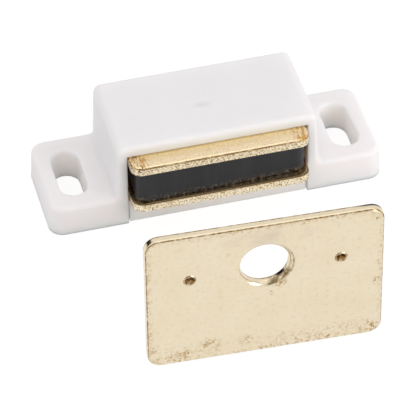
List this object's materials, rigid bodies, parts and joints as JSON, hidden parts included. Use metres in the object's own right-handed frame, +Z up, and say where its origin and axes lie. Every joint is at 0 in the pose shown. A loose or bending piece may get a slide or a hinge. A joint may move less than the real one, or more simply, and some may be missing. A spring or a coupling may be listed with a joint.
{
  "type": "magnetic catch",
  "caption": "Magnetic cupboard catch: a plastic housing with slotted screw ears, a ferrite magnet clamped between floating steel pole plates, and the separate steel strike plate.",
  "frame": {"origin": "on the mounting plane of the catch, half way along its length and half way across its housing", "axes": "+X along the catch; -Y out of the pole plates, towards the strike plate; +Z up from the mounting plane"},
  "size_m": [0.06, 0.0564, 0.028],
  "materials": {
    "white_plastic": "satin",
    "plated_steel": "satin",
    "ferrite": "matte"
  },
  "bodies": {
    "case": {"housing": "white_plastic", "base_cover": "white_plastic"},
    "magnet_pack": {"lower_pole_plate": "plated_steel", "magnet": "ferrite", "upper_pole_plate": "plated_steel"},
    "strike": {"strike_plate": "plated_steel"}
  },
  "joints": [
    {"name": "pack_float", "type": "slide", "parent": "case", "child": "magnet_pack", "axis": [0, 1, 0], "range_m": [0, 0.001]},
    {"name": "strike_closing", "type": "hinge", "parent": "case", "child": "strike", "pos_m": [-0.72536, -0.01295, 0], "axis": [0, 0, 1], "range_deg": [0, 2.5]}
  ]
}
